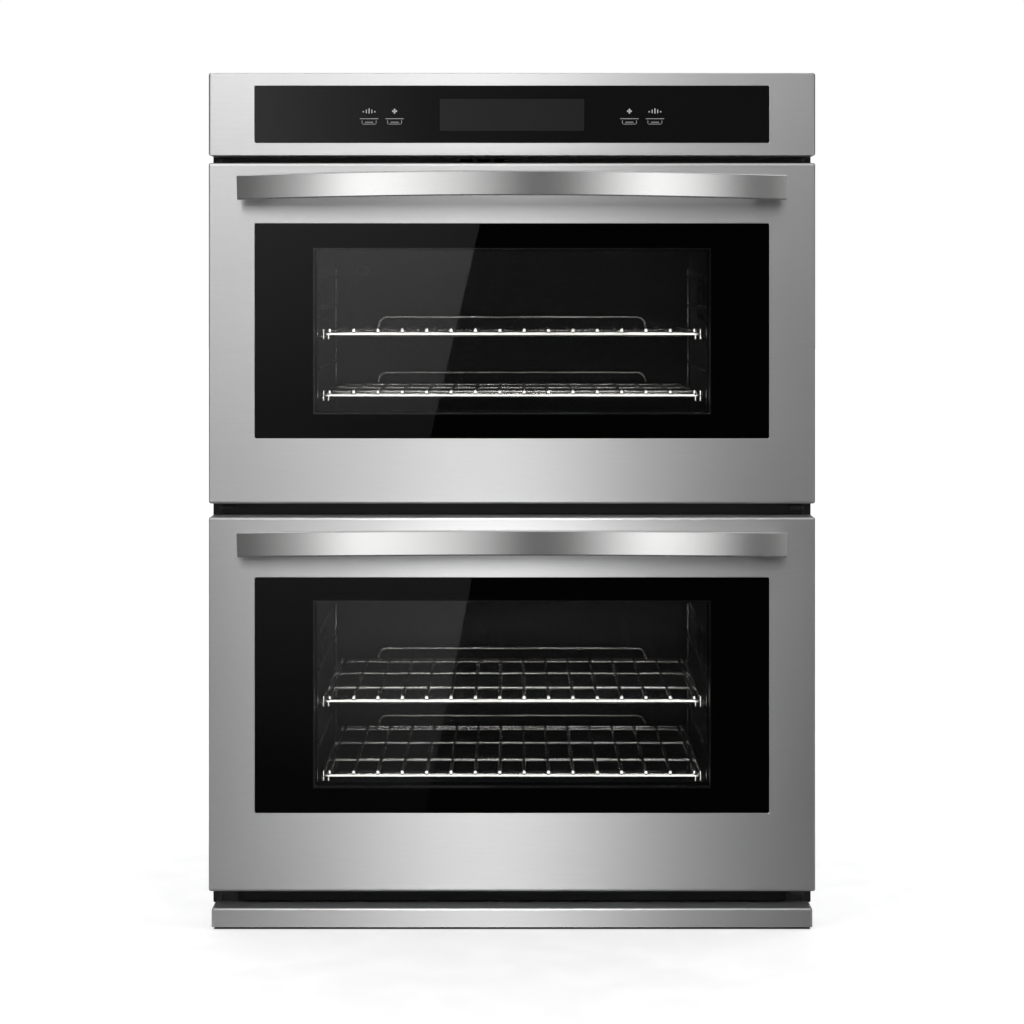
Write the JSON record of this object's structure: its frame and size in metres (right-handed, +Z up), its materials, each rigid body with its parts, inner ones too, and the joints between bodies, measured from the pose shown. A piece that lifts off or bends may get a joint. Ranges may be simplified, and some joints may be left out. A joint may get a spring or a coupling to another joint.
{
  "type": "double wall oven",
  "caption": "Built-in double wall oven with two drop-down glass doors, bowed bar handles, sliding wire racks and a glass touch control panel.",
  "frame": {"origin": "middle of the footprint, at the level of the surface the base pan stands on", "axes": "+Z up, doors face -Y, +X to the right as seen from the front"},
  "size_m": [0.762, 0.69, 1.076],
  "materials": {
    "stainless": "horizontally brushed",
    "dark_steel": "satin",
    "black_enamel_sheet": "satin black",
    "galvanised": "zinc-coated sheet",
    "black_glass": "polished, black with a clear window",
    "clear_glass": "polished",
    "display": "dark display",
    "circuit_board": "solder mask",
    "terminal_ceramic": "unglazed",
    "cable_jacket": "sleeved",
    "motor_paint": "satin",
    "wheel_plastic": "moulded",
    "oven_enamel": "speckled porcelain enamel",
    "insulation": "glass wool",
    "gasket": "woven over silicone",
    "chromed_wire": "plated wire",
    "heater_sheath": "oxidised sheath",
    "switch_plastic": "moulded",
    "plunger_plastic": "moulded",
    "hardware_steel": "zinc-plated"
  },
  "bodies": {
    "chassis": {"front_frame": "black_enamel_sheet", "side_panel_left": "galvanised", "side_panel_right": "galvanised", "top_cover": "galvanised", "back_panel": "galvanised", "base_pan": "galvanised", "decks": "galvanised", "bottom_vent_trim": "stainless", "control_fascia": "stainless", "control_glass": "black_glass", "display_module": "display", "control_board": "circuit_board", "control_tray": "galvanised", "power_board": "circuit_board", "junction_box": "galvanised", "terminal_block": "terminal_ceramic", "wiring_harness": "cable_jacket", "blower_housing": "galvanised", "blower_motor": "motor_paint", "upper_cavity": "oven_enamel", "lower_cavity": "oven_enamel", "insulation_blankets": "insulation", "door_gaskets": "gasket", "rack_ladders": "chromed_wire", "bake_elements": "heater_sheath", "broil_elements": "heater_sheath", "temperature_probes": "chromed_wire", "lamp_housings": "galvanised", "lamp_lenses": "clear_glass", "hinge_receivers": "galvanised", "hinge_arms": "galvanised", "door_switches": "switch_plastic", "chassis_screws": "hardware_steel"},
    "blower_rotor": {"blower_wheel": "wheel_plastic"},
    "upper_plunger": {"upper_switch_plunger": "plunger_plastic"},
    "lower_plunger": {"lower_switch_plunger": "plunger_plastic"},
    "upper_top_rack": {"upper_oven_top_rack": "chromed_wire"},
    "upper_bottom_rack": {"upper_oven_bottom_rack": "chromed_wire"},
    "lower_top_rack": {"lower_oven_top_rack": "chromed_wire"},
    "lower_bottom_rack": {"lower_oven_bottom_rack": "chromed_wire"},
    "upper_door": {"upper_door_skin": "stainless", "upper_door_glass": "black_glass", "upper_door_panes": "clear_glass", "upper_door_liner": "oven_enamel", "upper_door_wool": "insulation", "upper_handle": "stainless", "upper_handle_posts": "dark_steel", "upper_hinge_channels": "galvanised", "upper_hinge_pins": "hardware_steel", "upper_hinge_springs": "hardware_steel"},
    "lower_door": {"lower_door_skin": "stainless", "lower_door_glass": "black_glass", "lower_door_panes": "clear_glass", "lower_door_liner": "oven_enamel", "lower_door_wool": "insulation", "lower_handle": "stainless", "lower_handle_posts": "dark_steel", "lower_hinge_channels": "galvanised", "lower_hinge_pins": "hardware_steel", "lower_hinge_springs": "hardware_steel"}
  },
  "joints": [
    {"name": "upper_door_hinge", "type": "hinge", "parent": "chassis", "child": "upper_door", "pos_m": [0, -0.265, 0.5435], "axis": [1, 0, 0], "range_deg": [0, 86]},
    {"name": "lower_door_hinge", "type": "hinge", "parent": "chassis", "child": "lower_door", "pos_m": [0, -0.265, 0.0565], "axis": [1, 0, 0], "range_deg": [0, 86]},
    {"name": "upper_top_rack_slide", "type": "slide", "parent": "chassis", "child": "upper_top_rack", "axis": [0, -1, 0], "range_m": [0, 0.275]},
    {"name": "upper_bottom_rack_slide", "type": "slide", "parent": "chassis", "child": "upper_bottom_rack", "axis": [0, -1, 0], "range_m": [0, 0.275]},
    {"name": "lower_top_rack_slide", "type": "slide", "parent": "chassis", "child": "lower_top_rack", "axis": [0, -1, 0], "range_m": [0, 0.275]},
    {"name": "lower_bottom_rack_slide", "type": "slide", "parent": "chassis", "child": "lower_bottom_rack", "axis": [0, -1, 0], "range_m": [0, 0.275]},
    {"name": "upper_plunger_slide", "type": "slide", "parent": "chassis", "child": "upper_plunger", "axis": [0, -1, 0], "range_m": [0, 0.0065]},
    {"name": "lower_plunger_slide", "type": "slide", "parent": "chassis", "child": "lower_plunger", "axis": [0, -1, 0], "range_m": [0, 0.0065]},
    {"name": "blower_spin", "type": "hinge", "parent": "chassis", "child": "blower_rotor", "pos_m": [0, 0.06, 0.97], "axis": [0, 0, 1], "continuous": true}
  ],
  "couplings": [
    {"joint": "upper_top_rack_slide", "follows": "upper_door_hinge", "m_per_rad": 0.18},
    {"joint": "upper_bottom_rack_slide", "follows": "upper_door_hinge", "m_per_rad": 0.18},
    {"joint": "upper_plunger_slide", "follows": "upper_door_hinge", "m_per_rad": 0.004},
    {"joint": "lower_top_rack_slide", "follows": "lower_door_hinge", "m_per_rad": 0.18},
    {"joint": "lower_bottom_rack_slide", "follows": "lower_door_hinge", "m_per_rad": 0.18},
    {"joint": "lower_plunger_slide", "follows": "lower_door_hinge", "m_per_rad": 0.004}
  ]
}
